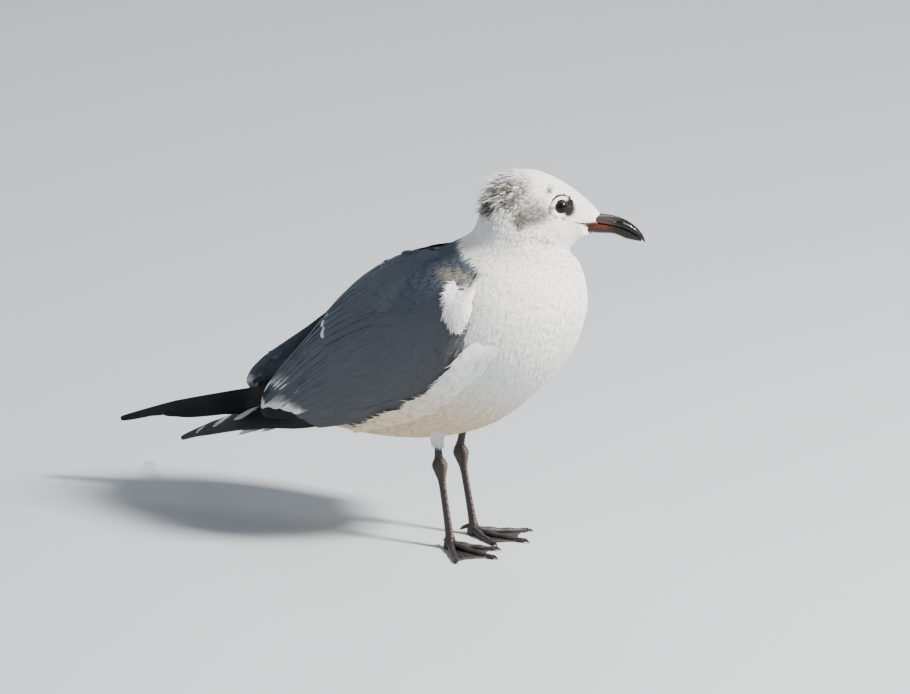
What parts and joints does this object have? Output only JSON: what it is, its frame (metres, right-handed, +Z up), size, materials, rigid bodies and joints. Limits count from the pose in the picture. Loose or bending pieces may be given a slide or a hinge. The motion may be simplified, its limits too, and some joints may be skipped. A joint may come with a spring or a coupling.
{
  "type": "gull",
  "caption": "Standing gull with folded, crossed wings, head turned to its left, webbed feet flat on the floor; a still life-size model.",
  "frame": {"origin": "on the floor, under the middle of the box round the bird", "axes": "+X the way the breast faces, +Y towards the bird's left, +Z up"},
  "size_m": [0.3426, 0.1096, 0.2371],
  "materials": {
    "body_plumage": "short soft white feathers over flesh",
    "white_plumage": "long soft white feathers",
    "grey_plumage": "smooth slate-grey feathers, matt",
    "black_plumage": "black flight feathers with a faint sheen",
    "bill": "dark horn, satin, reddish at the tip",
    "leg_skin": "dark reddish scaled skin, satin",
    "claw": "black horn, satin",
    "eye": "dark brown, wet gloss"
  },
  "bodies": {
    "root": {"abdomen": "white_plumage", "bill_lower": "bill", "bill_upper": "bill", "breast": "body_plumage", "claw_inner_left": "claw", "claw_inner_right": "claw", "claw_middle_left": "claw", "claw_middle_right": "claw", "claw_outer_left": "claw", "claw_outer_right": "claw", "eye_left": "eye", "eye_right": "eye", "foot_left": "leg_skin", "foot_right": "leg_skin", "head": "body_plumage", "neck": "body_plumage", "primaries_left": "black_plumage", "primaries_right": "black_plumage", "shank_left": "leg_skin", "shank_right": "leg_skin", "tail": "white_plumage", "thigh_left": "leg_skin", "thigh_right": "leg_skin", "wing_left": "grey_plumage", "wing_right": "grey_plumage"}
  },
  "joints": []
}
